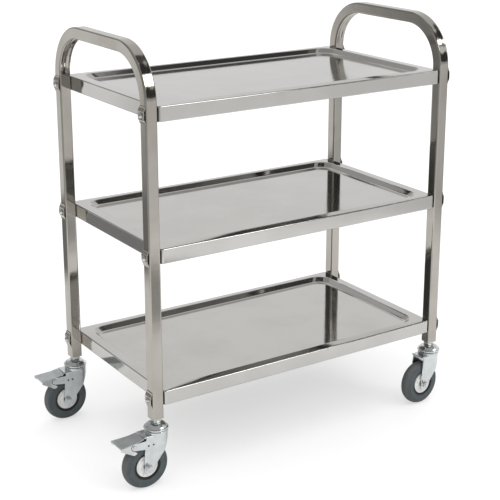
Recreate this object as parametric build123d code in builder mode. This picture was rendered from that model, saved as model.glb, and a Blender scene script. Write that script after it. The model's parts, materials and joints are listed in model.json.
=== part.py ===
from build123d import *
import math
import os

# Three-shelf stainless steel utility cart on four swivel castors, the two at its left end braked.
# Millimetres. +X runs along the cart towards its unbraked end, -Y is the front, +Z is up.
# The origin lies on the floor, in the middle of the cart's box as it stands.

# Driving dimensions: end frames
frame_length = 750.0  # over the legs, along X
frame_depth = 400.0  # over the legs, along Y
handle_rise = 115.0  # top of the handle above the top tray
leg_tail = 27.0  # leg below the bottom tray's apron
tube = 25.0
tube_wall = 1.2
tube_corner = 3.0
bend_radius = 100.0  # handle bends, on the tube's centre line

# Driving dimensions: trays
upper_pitch = 282.0  # middle tray to top tray
lower_pitch = 299.0  # bottom tray to middle tray
sheet = 1.0
apron_height = 31.0
apron_corner = 6.0
apron_bend = 2.0
apron_hem = 12.0
side_rim = 19.0
end_rim = 23.0
pan_depth = 10.0
pan_slope = 6.0  # run of the pan's wall over its depth
pan_corner = 34.0
pan_bend = 2.0

# Driving dimensions: saddle plates, frame bolts and nuts
saddle_height = 34.0
saddle_width = 22.0
saddle_rise = 5.0  # outer face of the bridge above the leg
saddle_sheet = 1.5
saddle_foot = 4.0
saddle_flat = 16.0
saddle_bend = 4.0
bolt_diameter = 6.0
bolt_head = 12.5
bolt_head_height = 5.0
bolt_end = 2.0  # bolt beyond its nut
bolt_play = 0.2  # round the bolt in its holes
nut_flats = 10.0
nut_height = 5.0

# Driving dimensions: castor head
neck = 16.5  # square stem, across its flats
neck_corner = 1.5
neck_height = 9.5  # stem seen between the leg and the cap
stem_end = 5.0  # top of the stem below the lowest frame bolt
socket_play = 0.1  # between stem, insert and tube
cap_radius = 25.5
cap_height = 13.0
cap_skirt = 5.0
cap_crown = 12.5  # radius of the flat round the neck
cap_bulge = 1.6  # dome beyond the straight line from skirt to crown
swivel_gap = 1.0
race_radius = 24.0
race_height = 5.0
race_bend = 1.8
ball_diameter = 6.0
ball_pitch = 17.0
ball_count = 10
ball_play = 0.1
king_pin_diameter = 10.0
king_pin_play = 0.06
king_pin_seat = 8.0  # king pin inside the cap
king_pin_head = 22.0
king_pin_head_height = 4.0
king_pin_gap = 0.3  # between the king pin's head and the fork

# Driving dimensions: fork
fork_sheet = 2.5
fork_bend = 2.2
fork_back = 36.0  # platform behind the swivel axis
fork_front = 24.0  # fork ahead of the swivel axis
fork_skirt = 6.5  # front wall below the platform's top
cheek_back = 31.0  # where the rear edge of a cheek meets the platform
cheek_front = 10.0  # bulge of a cheek's front edge, ahead of the swivel axis
cheek_front_drop = 37.0  # that bulge below the platform
boss_radius = 12.0
platform_clearance = 15.0  # tyre to platform
trail = 28.0  # axle behind the swivel axis
pilot_diameter = 4.0
pilot_drop = 18.0  # pilot holes below the platform
pilot_first = 15.5  # pilot holes behind the swivel axis
pilot_second = 26.5

# Driving dimensions: wheel
wheel_diameter = 100.0
tyre_width = 26.0
tyre_bore = 56.0
tyre_bevel = 2.0
tread_width = 21.0
tread_crown = 3.2
shoulder_height = 5.5
rim_width = 21.0
rim_land = 1.7  # wall of the core under the tyre
rim_recess = 1.5  # face of the core below the rim's edge
boss_diameter = 17.0
boss_width = 29.0
cover_diameter = 47.5
cover_thick = 2.8
cover_rim = 3.0
cover_dish = 1.2
cover_boss = 28.0
cover_rib = 1.6
cover_ribs = 6
wheel_play = 0.3  # between boss and cheek
core_play = 0.05  # between core and tyre, and core and cover
axle_diameter = 8.0
axle_play = 0.1
sleeve_diameter = 12.0
sleeve_play = 0.08
axle_flats = 13.0
axle_head_height = 5.3
axle_nut_height = 6.0
axle_flange = 16.0
axle_flange_height = 1.5
axle_end = 1.0  # axle bolt beyond its nut

# Driving dimensions: brake
brake_travel = 18.0  # degrees that the pedal tips
brake_gap = 0.3  # tongue to tyre with the pedal down
pin_back = 57.0  # pedal pin behind the swivel axis
pin_drop = 13.5  # pedal pin below the platform
pin_diameter = 6.0
pin_play = 0.06
pin_head = 9.5
pin_head_height = 1.4
lug_radius = 7.5
arm_drop = 6.0  # upper edge of an arm below the platform, at its cheek
arm_root = 19.0  # height of an arm at its cheek
pedal_tilt = 4.4  # degrees that the pedal's tip hangs at rest
pedal_sheet = 2.0
pedal_lift = 8.3  # underside of the plate above the pin
pedal_inner = 11.0  # cheeks inside the pin
pedal_plate_inner = 21.0  # plate inside the pin, as far as the platform's edge
pedal_outer = 33.5  # plate outside the pin
pedal_root_width = 34.6
pedal_tip_width = 45.0
pedal_cheek = 1.7
pedal_cheek_play = 0.3
pedal_cheek_root = 5.0  # height of a cheek's inner end below the plate
pedal_flare = 9.5  # where the cheeks start to spread, outside the pin
pedal_belly = 15.5  # depth of a cheek below the pin
pedal_belly_out = 4.5  # its deepest point outside the pin
pedal_belly_radius = 7.0
tongue_radius = 2.5
tongue_reach = 14.0  # from the pin

# Driving dimensions: how the castors stand, in degrees about +Z
front_right_turn = 4.8

# Heights above the floor
axle_height = wheel_diameter / 2
platform_under = wheel_diameter + platform_clearance
platform_top = platform_under + fork_sheet
race_top = platform_top + race_height
ball_height = race_top + swivel_gap / 2
cap_under = race_top + swivel_gap
cap_top = cap_under + cap_height
foot = cap_top + neck_height
bottom_top = foot + leg_tail + apron_height
middle_top = bottom_top + lower_pitch
top_top = middle_top + upper_pitch
tray_tops = (bottom_top, middle_top, top_top)
handle_line = top_top + handle_rise - tube / 2
bolt_drop = apron_height / 2
stem_top = bottom_top - bolt_drop - bolt_diameter / 2 - stem_end
pin_height = platform_under - pin_drop

# Places across the cart, from its middle
leg_x = (frame_length - tube) / 2
leg_y = (frame_depth - tube) / 2
tray_length = frame_length - 2 * tube
tray_depth = frame_depth
bolt_seat = frame_length / 2 + saddle_rise
nut_seat = tray_length / 2 - sheet

# The pedals reach further than anything at the right, so the cart's middle stands right of the origin.
tilt = math.radians(pedal_tilt)
pedal_reach = pin_back + pedal_outer * math.cos(tilt) + (pedal_lift + pedal_sheet) * math.sin(tilt)
left_reach = leg_x + pedal_reach
right_reach = max(leg_x + cap_radius, bolt_seat + bolt_head_height)
middle = (left_reach - right_reach) / 2

# Sizes that follow from others
tube_bore = tube - 2 * tube_wall
bolt_hole = bolt_diameter + 2 * bolt_play
fork_gap = boss_width + 2 * wheel_play
fork_width = fork_gap + 2 * fork_sheet
pedal_cheek_width = fork_gap - 2 * pedal_cheek_play
least_corner = 0.2  # inside a folded or drawn wall

# Planes and axis of a castor that stands at the origin and trails towards -X
wheel_centre = (-trail, 0, axle_height)
wheel_section = Plane(wheel_centre, x_dir=(0, 1, 0), z_dir=(1, 0, 0))
wheel_axis = Axis(wheel_centre, (0, 1, 0))
pin_centre = (-pin_back, 0, pin_height)
pedal_out = (-math.cos(tilt), 0, -math.sin(tilt))
pedal_up = (-math.sin(tilt), 0, math.cos(tilt))
pedal_plan = Plane(pin_centre, x_dir=pedal_out, z_dir=pedal_up)
pedal_side = Plane(pin_centre, x_dir=pedal_out, z_dir=(0, 1, 0))


def inner_corner(corner, wall):
    """Radius of a corner on the inner side of a wall."""
    return max(corner - wall, least_corner)


def end_frame():
    """One bent tube: two legs and the handle bow, drilled for the tray bolts."""
    with BuildPart() as bow:
        with BuildLine(Plane.YZ):
            FilletPolyline(
                (-leg_y, foot),
                (-leg_y, handle_line),
                (leg_y, handle_line),
                (leg_y, foot),
                radius=bend_radius,
            )
        with BuildSketch(Plane((0, -leg_y, foot))):
            RectangleRounded(tube, tube, tube_corner)
            RectangleRounded(tube_bore, tube_bore, inner_corner(tube_corner, tube_wall), mode=Mode.SUBTRACT)
        sweep()
        with BuildSketch(Plane.YZ):
            for top in tray_tops:
                with Locations((-leg_y, top - bolt_drop), (leg_y, top - bolt_drop)):
                    Circle(bolt_hole / 2)
        extrude(amount=tube, both=True, mode=Mode.SUBTRACT)
    return bow.part


def tray():
    """One tray, its top at height 0: sunk pan, flat rim, folded apron with a hem, open underneath."""
    slope = math.degrees(math.atan2(pan_slope, pan_depth))
    wall_run = sheet / math.cos(math.radians(slope))
    pan_length = tray_length - 2 * end_rim
    pan_width = tray_depth - 2 * side_rim
    inside_length = tray_length - 2 * sheet
    inside_depth = tray_depth - 2 * sheet
    with BuildPart() as hollow:
        with BuildSketch(Plane.XY.offset(sheet - apron_height)):
            RectangleRounded(inside_length, inside_depth, inner_corner(apron_corner, sheet))
        extrude(amount=apron_height - 2 * sheet)
        fillet(hollow.faces().filter_by(Axis.Z).edges(), inner_corner(apron_bend, sheet))
    with BuildPart() as dish:
        with BuildSketch():
            RectangleRounded(pan_length, pan_width, pan_corner)
        extrude(amount=-pan_depth, taper=slope)
        fillet(dish.faces().sort_by(Axis.Z)[0].edges(), pan_bend)
    with BuildPart() as shell:
        with BuildSketch(Plane.XY.offset(-apron_height)):
            RectangleRounded(tray_length, tray_depth, apron_corner)
        extrude(amount=apron_height)
        fillet(shell.faces().filter_by(Axis.Z).edges(), apron_bend)
        add(hollow.part, mode=Mode.SUBTRACT)
        with BuildSketch(Plane.XY.offset(-apron_height)):
            Rectangle(tray_length - 2 * apron_hem, tray_depth - 2 * apron_hem)
        extrude(amount=2 * sheet, mode=Mode.SUBTRACT)
        with BuildSketch():
            RectangleRounded(pan_length + 2 * wall_run, pan_width + 2 * wall_run, pan_corner + wall_run)
        extrude(amount=-pan_depth - sheet, taper=slope)
        add(dish.part, mode=Mode.SUBTRACT)
        rim = shell.faces().filter_by(Axis.Z).sort_by(Axis.Z)[-1]
        fillet(rim.inner_wires()[0].edges(), pan_bend)
        for side in (-1, 1):
            end = Plane((side * tray_length / 2, 0, -bolt_drop), x_dir=(0, 1, 0), z_dir=(1, 0, 0))
            with BuildSketch(end):
                with Locations((-leg_y, 0), (leg_y, 0)):
                    Circle(bolt_hole / 2)
            extrude(amount=2 * sheet, both=True, mode=Mode.SUBTRACT)
    return shell.part


def saddle():
    """Bowed bridge plate on the outer face of a leg, its seat at X 0 and its bolt hole on the X axis."""
    inner = [
        (0, -saddle_height / 2),
        (0, saddle_foot - saddle_height / 2),
        (saddle_rise - saddle_sheet, -saddle_flat / 2),
        (saddle_rise - saddle_sheet, saddle_flat / 2),
        (0, saddle_height / 2 - saddle_foot),
        (0, saddle_height / 2),
    ]
    outer = [(x + saddle_sheet, z) for x, z in inner]
    with BuildPart() as plate:
        with BuildSketch(Plane.XZ):
            with BuildLine():
                FilletPolyline(*inner, radius=saddle_bend)
                FilletPolyline(*outer, radius=saddle_bend)
                Line(inner[0], outer[0])
                Line(inner[-1], outer[-1])
            make_face()
        extrude(amount=saddle_width / 2, both=True)
        with BuildSketch(Plane.YZ):
            Circle(bolt_hole / 2)
        extrude(amount=saddle_rise, mode=Mode.SUBTRACT)
    return plate.part


def frame_bolt():
    """Dome-head bolt along X, the underside of its head at X 0."""
    grip = bolt_seat - nut_seat + nut_height + bolt_end
    ball = (bolt_head**2 / 4 + bolt_head_height**2) / (2 * bolt_head_height)
    with BuildPart() as bolt:
        with BuildSketch():
            with BuildLine():
                Polyline((bolt_head_height, 0), (0, 0), (0, bolt_head / 2))
                RadiusArc((0, bolt_head / 2), (bolt_head_height, 0), ball)
            make_face()
        revolve(axis=Axis.X)
        with BuildSketch(Plane.YZ):
            Circle(bolt_diameter / 2)
        extrude(amount=-grip)
    return bolt.part


def frame_nut():
    """Hexagon nut along X, its outer face at X 0."""
    with BuildPart() as nut:
        with BuildSketch(Plane.YZ):
            RegularPolygon(nut_flats / 2, 6, major_radius=False)
            Circle(bolt_hole / 2, mode=Mode.SUBTRACT)
        extrude(amount=-nut_height)
    return nut.part


def leg_insert():
    """Plastic socket in the foot of a leg, round the castor's square stem."""
    outside = tube_bore - 2 * socket_play
    hole = neck + 2 * socket_play
    with BuildPart() as socket:
        with BuildSketch(Plane.XY.offset(foot)):
            RectangleRounded(outside, outside, inner_corner(tube_corner, tube_wall))
            RectangleRounded(hole, hole, neck_corner, mode=Mode.SUBTRACT)
        extrude(amount=stem_top - foot)
    return socket.part


def ball_race():
    """The round channel that the bearing balls run in, as a solid to cut away."""
    with BuildPart() as channel:
        with Locations((0, 0, ball_height)):
            Torus(ball_pitch, ball_diameter / 2 + ball_play)
    return channel.part


def stem():
    """Domed cap with the upper ball race under it and the square stem on top."""
    channel = ball_race()
    rise = cap_height - cap_skirt
    run = cap_radius - cap_crown
    bulge = cap_bulge / math.hypot(rise, run)
    skirt_edge = (cap_radius, cap_under + cap_skirt)
    crown_edge = (cap_crown, cap_top)
    dome = (cap_crown + run / 2 + bulge * rise, cap_top - rise / 2 + bulge * run)
    with BuildPart() as cap:
        with BuildSketch(Plane.XZ):
            with BuildLine():
                Polyline(crown_edge, (0, cap_top), (0, cap_under), (cap_radius, cap_under), skirt_edge)
                ThreePointArc(skirt_edge, dome, crown_edge)
            make_face()
        revolve(axis=Axis.Z)
        with BuildSketch(Plane.XY.offset(cap_top)):
            RectangleRounded(neck, neck, neck_corner)
        extrude(amount=stem_top - cap_top)
        add(channel, mode=Mode.SUBTRACT)
        with BuildSketch(Plane.XY.offset(cap_under)):
            Circle(king_pin_diameter / 2 + king_pin_play)
        extrude(amount=king_pin_seat, mode=Mode.SUBTRACT)
    return cap.part


def king_pin():
    """Headed pin that holds the fork up against the bearing."""
    head_top = platform_under - king_pin_gap
    with BuildPart() as pin:
        with BuildSketch(Plane.XY.offset(head_top - king_pin_head_height)):
            Circle(king_pin_head / 2)
        extrude(amount=king_pin_head_height)
        chamfer(pin.edges().sort_by(Axis.Z)[0], king_pin_head_height / 3)
        with BuildSketch(Plane.XY.offset(head_top)):
            Circle(king_pin_diameter / 2)
        extrude(amount=cap_under + king_pin_seat - head_top)
    return pin.part


def bearing_balls():
    """The ring of balls between the fork's race and the cap's."""
    with BuildPart() as ring:
        with Locations((0, 0, ball_height)):
            with PolarLocations(ball_pitch, ball_count):
                Sphere(ball_diameter / 2)
    return ring.part


def fork_plan(half_width, back):
    """Outline of the fork from above: straight sides, open rear end, round front."""
    centre = fork_front - fork_width / 2
    with BuildSketch() as plan:
        with BuildLine():
            Polyline((centre, half_width), (-back, half_width), (-back, -half_width), (centre, -half_width))
            ThreePointArc((centre, -half_width), (centre + half_width, 0), (centre, half_width))
        make_face()
    return plan.sketch


def fork(braked):
    """Pressed fork: platform with the lower ball race, two cheeks, and the pedal's arms if braked."""
    channel = ball_race()
    outline = fork_plan(fork_width / 2, fork_back)
    space = fork_plan(fork_gap / 2, 2 * fork_back)
    with BuildPart() as body:
        extrude(outline, amount=platform_top)
        fillet(body.faces().sort_by(Axis.Z)[-1].edges(), fork_bend)
        with BuildSketch(Plane.XZ):
            with BuildLine():
                Polyline(
                    (-cheek_back, platform_under),
                    (fork_front, platform_under),
                    (fork_front, platform_top - fork_skirt),
                    (cheek_front, platform_under - cheek_front_drop),
                )
            with Locations((-trail, axle_height)):
                Circle(boss_radius)
            make_hull()
            with Locations(((fork_front - fork_back) / 2, (platform_under + platform_top) / 2)):
                Rectangle(fork_front + fork_back, fork_sheet)
        extrude(amount=fork_width, both=True, mode=Mode.INTERSECT)
        extrude(space, amount=platform_under, mode=Mode.SUBTRACT)
        with BuildSketch(Plane.XY.offset(platform_top)):
            Circle(race_radius)
        extrude(amount=race_height)
        fillet(body.faces().sort_by(Axis.Z)[-1].edges(), race_bend)
        add(channel, mode=Mode.SUBTRACT)
        with BuildSketch(Plane.XY.offset(platform_under)):
            Circle(king_pin_diameter / 2 + king_pin_play)
        extrude(amount=race_top, mode=Mode.SUBTRACT)
        if braked:
            arm_top = platform_under - arm_drop
            for side in (-1, 1):
                with BuildSketch(Plane.XZ.offset(side * fork_gap / 2)):
                    with BuildLine():
                        Line((-cheek_back, arm_top), (-cheek_back, arm_top - arm_root))
                    with Locations((-pin_back, pin_height)):
                        Circle(lug_radius)
                    make_hull()
                extrude(amount=side * fork_sheet)
            with BuildSketch(Plane.XZ):
                with Locations((-pin_back, pin_height)):
                    Circle(pin_diameter / 2 + pin_play)
                pilot_height = platform_under - pilot_drop
                with Locations((-pilot_first, pilot_height), (-pilot_second, pilot_height)):
                    Circle(pilot_diameter / 2)
            extrude(amount=fork_width, both=True, mode=Mode.SUBTRACT)
        with BuildSketch(Plane.XZ):
            with Locations((-trail, axle_height)):
                Circle(axle_diameter / 2 + axle_play)
        extrude(amount=fork_width, both=True, mode=Mode.SUBTRACT)
    return body.part


def axle_bolt():
    """Hexagon bolt across the fork, its head at the rear and its end in the nut at the front."""
    reach = fork_width + axle_flange_height + axle_nut_height + axle_end
    with BuildPart() as bolt:
        with BuildSketch(Plane.XZ.offset(-fork_width / 2)):
            with Locations((-trail, axle_height)):
                RegularPolygon(axle_flats / 2, 6, major_radius=False)
        extrude(amount=-axle_head_height)
        with BuildSketch(Plane.XZ.offset(-fork_width / 2)):
            with Locations((-trail, axle_height)):
                Circle(axle_diameter / 2)
        extrude(amount=reach)
    return bolt.part


def axle_nut():
    """Flanged nut on the front cheek."""
    with BuildPart() as nut:
        with BuildSketch(Plane.XZ.offset(fork_width / 2)):
            with Locations((-trail, axle_height)):
                Circle(axle_flange / 2)
        extrude(amount=axle_flange_height)
        with BuildSketch(Plane.XZ.offset(fork_width / 2 + axle_flange_height)):
            with Locations((-trail, axle_height)):
                RegularPolygon(axle_flats / 2, 6, major_radius=False)
        extrude(amount=axle_nut_height)
        with BuildSketch(Plane.XZ.offset(fork_width / 2)):
            with Locations((-trail, axle_height)):
                Circle(axle_diameter / 2 + axle_play)
        extrude(amount=axle_flange_height + axle_nut_height, mode=Mode.SUBTRACT)
    return nut.part


def axle_sleeve():
    """Steel sleeve clamped between the cheeks, on which the wheel turns."""
    with BuildPart() as sleeve:
        with BuildSketch(Plane.XZ):
            with Locations((-trail, axle_height)):
                Circle(sleeve_diameter / 2)
                Circle(axle_diameter / 2 + axle_play, mode=Mode.SUBTRACT)
        extrude(amount=fork_gap / 2, both=True)
    return sleeve.part


def tyre():
    """Rubber tyre: flat sidewalls, bevelled beads, sloping shoulders and a crowned tread."""
    half = tyre_width / 2
    bead = tyre_bore / 2
    crown = wheel_diameter / 2
    edge = (tread_width / 2, crown - tread_crown)
    shoulder = (half, crown - tread_crown - shoulder_height)
    with BuildPart() as ring:
        with BuildSketch(wheel_section):
            with BuildLine():
                Polyline((0, bead), (half - tyre_bevel, bead), (half, bead + tyre_bevel), shoulder, edge)
                ThreePointArc(edge, (0, crown), (-edge[0], edge[1]))
                mirror(about=Plane.YZ)
            make_face()
        revolve(axis=wheel_axis)
    return ring.part


def hub():
    """Dark plastic core: bearing boss, web and the rim that carries the tyre."""
    bore = sleeve_diameter / 2 + sleeve_play
    face = rim_width / 2 - rim_recess
    rim = tyre_bore / 2 - core_play
    with BuildPart() as core:
        with BuildSketch(wheel_section):
            with BuildLine():
                Polyline(
                    (0, bore),
                    (boss_width / 2, bore),
                    (boss_width / 2, boss_diameter / 2),
                    (face, boss_diameter / 2),
                    (face, rim - rim_land),
                    (rim_width / 2, rim - rim_land),
                    (rim_width / 2, rim),
                    (0, rim),
                )
                mirror(about=Plane.YZ)
            make_face()
        revolve(axis=wheel_axis)
    return core.part


def hub_covers():
    """Pale dished disc on each face of the core, with ribs across the dish."""
    face = rim_width / 2 - rim_recess
    floor = face + cover_thick - cover_dish
    inner = boss_diameter / 2 + core_play
    dish_outer = cover_diameter / 2 - cover_rim
    dish_inner = cover_boss / 2
    rib_start = (inner + dish_inner) / 2
    rib_end = (dish_outer + cover_diameter / 2) / 2
    with BuildPart() as covers:
        with BuildSketch(wheel_section):
            with BuildLine():
                Polyline(
                    (face, inner),
                    (face + cover_thick, inner),
                    (face + cover_thick, dish_inner),
                    (floor, dish_inner),
                    (floor, dish_outer),
                    (face + cover_thick, dish_outer),
                    (face + cover_thick, cover_diameter / 2),
                    (face, cover_diameter / 2),
                    close=True,
                )
            make_face()
        revolve(axis=wheel_axis)
        with BuildSketch(Plane.XZ.offset(-floor)):
            with Locations((-trail, axle_height)):
                with PolarLocations((rib_start + rib_end) / 2, cover_ribs):
                    Rectangle(rib_end - rib_start, cover_rib)
        extrude(amount=-cover_dish)
        mirror(about=Plane.XZ)
    return covers.part


def pedal_pin():
    """Pin across the two arms, headed at both ends."""
    with BuildPart() as pin:
        with BuildSketch(Plane.XZ):
            with Locations((-pin_back, pin_height)):
                Circle(pin_diameter / 2)
        extrude(amount=fork_width / 2, both=True)
        for side in (-1, 1):
            with BuildSketch(Plane.XZ.offset(side * fork_width / 2)):
                with Locations((-pin_back, pin_height)):
                    Circle(pin_head / 2)
            extrude(amount=side * pin_head_height)
    return pin.part


def tongue_centre():
    """Centre of the brake tongue at rest: it meets the tyre's edge, less the gap, at full travel."""
    ahead = pin_back - trail
    below = pin_height - axle_height
    span = math.hypot(ahead, below)
    locked = wheel_diameter / 2 + brake_gap + tongue_radius
    spread = math.acos((span**2 + tongue_reach**2 - locked**2) / (2 * span * tongue_reach))
    angle = math.atan2(-below, ahead) - spread - math.radians(brake_travel)
    return (tongue_reach * math.cos(angle) - pin_back, tongue_reach * math.sin(angle) + pin_height)


def pedal():
    """Brake pedal: flared foot plate, two cheeks hung on the pin and a tongue between them."""
    half = pedal_cheek_width / 2
    tip = pedal_tip_width / 2
    root = pedal_root_width / 2
    with BuildPart() as cheeks:
        with BuildSketch(pedal_plan.offset(-pedal_belly)):
            with BuildLine():
                Polyline(
                    (-pedal_inner, half),
                    (pedal_flare, half),
                    (pedal_outer, tip),
                    (pedal_outer, tip - pedal_cheek),
                    (pedal_flare, half - pedal_cheek),
                    (-pedal_inner, half - pedal_cheek),
                    close=True,
                )
            make_face()
            mirror(about=Plane.XZ)
        extrude(amount=pedal_belly + pedal_lift)
        with BuildSketch(pedal_side):
            with BuildLine():
                Polyline(
                    (pedal_outer, pedal_lift),
                    (-pedal_inner, pedal_lift),
                    (-pedal_inner, pedal_lift - pedal_cheek_root),
                )
            with Locations((pedal_belly_out, pedal_belly_radius - pedal_belly)):
                Circle(pedal_belly_radius)
            make_hull()
        extrude(amount=pedal_tip_width, both=True, mode=Mode.INTERSECT)
    with BuildPart() as lever:
        with BuildSketch(pedal_plan.offset(pedal_lift)):
            with BuildLine():
                Polyline(
                    (-pedal_plate_inner, -root),
                    (-pedal_plate_inner, root),
                    (pedal_outer, tip),
                    (pedal_outer, -tip),
                    close=True,
                )
            make_face()
        extrude(amount=pedal_sheet)
        add(cheeks.part)
        with BuildSketch(Plane.XZ):
            with Locations(tongue_centre()):
                Circle(tongue_radius)
        extrude(amount=half - pedal_cheek / 2, both=True)
        with BuildSketch(Plane.XZ):
            with Locations((-pin_back, pin_height)):
                Circle(pin_diameter / 2 + pin_play)
        extrude(amount=fork_width, both=True, mode=Mode.SUBTRACT)
    return lever.part


def place(form, node, *spots):
    """Write one node: a copy of the form at each spot."""
    with BuildPart() as piece:
        with Locations(*spots):
            add(form)
    piece.part.label = node
    export_step(piece.part, f"parts/{node}.step")


os.makedirs("parts", exist_ok=True)

# End frames and trays
bow = end_frame()
place(bow, "left_end_frame", Location((middle - leg_x, 0, 0)))
place(bow, "right_end_frame", Location((middle + leg_x, 0, 0)))
shelf = tray()
for name, top in zip(("bottom_tray", "middle_tray", "top_tray"), tray_tops):
    place(shelf, name, Location((middle, 0, top)))

# Saddle plates, bolts and nuts: at the left end they are turned half round
saddle_spots = []
bolt_spots = []
nut_spots = []
for side in (-1, 1):
    turn = (0, 0, 0 if side > 0 else 180)
    for top in tray_tops:
        for y in (-leg_y, leg_y):
            saddle_spots.append(Location((middle + side * frame_length / 2, y, top - bolt_drop), turn))
            bolt_spots.append(Location((middle + side * bolt_seat, y, top - bolt_drop), turn))
            nut_spots.append(Location((middle + side * nut_seat, y, top - bolt_drop), turn))
place(saddle(), "saddle_plates", *saddle_spots)
place(frame_bolt(), "frame_bolts", *bolt_spots)
place(frame_nut(), "frame_nuts", *nut_spots)

# Castors: a corner's name, its place, the turn of its castor and whether it has a brake
corners = (
    ("front_left", -leg_x, -leg_y, 0, True),
    ("front_right", leg_x, -leg_y, front_right_turn, False),
    ("rear_left", -leg_x, leg_y, 0, True),
    ("rear_right", leg_x, leg_y, 0, False),
)
place(leg_insert(), "leg_inserts", *[Location((middle + x, y, 0)) for _, x, y, _, _ in corners])
forks = {True: fork(True), False: fork(False)}
fixed_forms = {"stem": stem(), "king_pin": king_pin(), "bearing_balls": bearing_balls()}
turning_forms = {
    "axle_bolt": axle_bolt(),
    "axle_nut": axle_nut(),
    "axle_sleeve": axle_sleeve(),
    "hub": hub(),
    "hub_covers": hub_covers(),
    "tyre": tyre(),
}
brake_forms = {"pedal": pedal(), "pedal_pin": pedal_pin()}
for corner, x, y, turn, braked in corners:
    spot = Location((middle + x, y, 0))
    turned = Location((middle + x, y, 0), (0, 0, turn))
    for name, form in fixed_forms.items():
        place(form, f"{corner}_{name}", spot)
    place(forks[braked], f"{corner}_fork", turned)
    for name, form in turning_forms.items():
        place(form, f"{corner}_{name}", turned)
    if braked:
        for name, form in brake_forms.items():
            place(form, f"{corner}_{name}", turned)
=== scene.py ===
"""Looks of a three-shelf stainless steel utility cart, dressed over its packed construction model."""
import json
import logging
import math
from collections.abc import Callable, Iterable, Mapping, Sequence
from dataclasses import dataclass
from enum import Enum

import bmesh
import bpy
from mathutils import Matrix, Vector


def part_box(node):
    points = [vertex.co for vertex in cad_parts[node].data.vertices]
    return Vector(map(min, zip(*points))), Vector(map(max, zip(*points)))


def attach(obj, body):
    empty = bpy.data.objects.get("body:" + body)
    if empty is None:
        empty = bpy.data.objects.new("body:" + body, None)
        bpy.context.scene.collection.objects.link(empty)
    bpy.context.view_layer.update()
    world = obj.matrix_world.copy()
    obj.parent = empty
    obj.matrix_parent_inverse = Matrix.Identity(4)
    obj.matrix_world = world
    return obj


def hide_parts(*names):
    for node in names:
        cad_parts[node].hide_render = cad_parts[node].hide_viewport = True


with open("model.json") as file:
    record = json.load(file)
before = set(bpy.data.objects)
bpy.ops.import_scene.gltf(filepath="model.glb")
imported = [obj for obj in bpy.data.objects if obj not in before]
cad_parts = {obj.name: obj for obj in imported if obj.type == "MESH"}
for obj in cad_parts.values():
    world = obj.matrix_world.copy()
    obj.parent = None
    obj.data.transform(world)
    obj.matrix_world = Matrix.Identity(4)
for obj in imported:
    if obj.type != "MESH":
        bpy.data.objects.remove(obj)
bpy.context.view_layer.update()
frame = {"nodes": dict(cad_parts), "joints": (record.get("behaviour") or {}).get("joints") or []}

LOG = logging.getLogger("utility_cart")
MM = 0.001
X_AXIS = Vector((1.0, 0.0, 0.0))
Z_AXIS = Vector((0.0, 0.0, 1.0))
WELD = 1e-6  # metres within which corners are joined
SNAP = 1e-7  # metres within which a cut keeps to a corner
FLAT_ANGLE = 0.5  # degrees within which triangles form one flat
FLAT_WEIGHT = 80  # how far large faces lead the shading
CREASE_ANGLE = 32.0  # degrees past which an edge stays sharp
KNOT_FACETS = 5  # facets of an eased corner of a turned profile
EASE_FACETS = 2  # facets of other eased edges
PRESSED_EASE = 0.45 * MM  # rounding of the cut edges of a pressed piece
PRESSED_ANGLE = 50.0  # degrees past which an edge of it is rounded
FRAME_BODY = "frame"
# face attribute for painted shade and other marked tones
SHADE_AND_TONE = "shade_and_tone"
END_FRAMES = ("left_end_frame", "right_end_frame")
TRAYS = ("bottom_tray", "middle_tray", "top_tray")
BRAKED = {"front_left": True, "front_right": False, "rear_left": True, "rear_right": False}

Colour = tuple[float, float, float]
Mesh = bmesh.types.BMesh
Vert = bmesh.types.BMVert
Edge = bmesh.types.BMEdge
Material = bpy.types.Material
Object = bpy.types.Object
Tree = bpy.types.NodeTree
Socket = bpy.types.NodeSocket


class Slot(Enum):
    """The record's material slots."""

    TUBE = "polished_steel"
    SHEET = "tray_steel"
    BOLT = "bright_bolts"
    ZINC = "zinc"
    TYRE = "tyre_rubber"
    CORE = "dark_plastic"
    COVER = "pale_plastic"


class Look(Enum):
    """Finishes of the cart, one or more to a slot."""

    TUBE = "polished_tube"
    SHEET = "tray_sheet"
    SHADED_UNDERSIDE = "dull_shaded_underside"
    BOLT = "bright_bolt"
    ZINC = "zinc_plate"
    CAP = "bright_zinc"
    TYRE = "tyre_rubber"
    CORE = "dark_plastic"
    COVER = "pale_plastic"


class Grain(Enum):
    """Coordinates that a finish's fine lines follow."""

    OBJECT = "Object"
    SWEEP = "UV"


class Rise(Enum):
    """How a mask rises between two values."""

    STRAIGHT = "LINEAR"
    SOFT = "SMOOTHSTEP"


Finishes = dict[Look, Material]


# Mesh tools


def smooth(share: float) -> float:
    """A share from 0 to 1, eased at both ends."""
    return share * share * (3.0 - 2.0 * share)


def pick(geom: Iterable[object], kind: type) -> list:
    """The elements of one kind among an operator's results."""
    return [g for g in geom if isinstance(g, kind)]


def verts_of(edges: Iterable[Edge]) -> list[Vert]:
    """The corners of some edges, each once."""
    return list({v: None for e in edges for v in e.verts})


def face_out(bm: Mesh) -> None:
    """Turn a mesh's faces outwards."""
    bmesh.ops.recalc_face_normals(bm, faces=bm.faces[:])


def weld(bm: Mesh) -> None:
    """Join the corners that lie on each other."""
    bmesh.ops.remove_doubles(bm, verts=bm.verts[:], dist=WELD)


def cut(bm: Mesh, point: Vector, normal: Vector) -> None:
    """Cut new edges into a mesh where a plane crosses it."""
    everything = bm.verts[:] + bm.edges[:] + bm.faces[:]
    bmesh.ops.bisect_plane(bm, geom=everything, dist=SNAP, plane_co=point, plane_no=normal)


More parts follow.
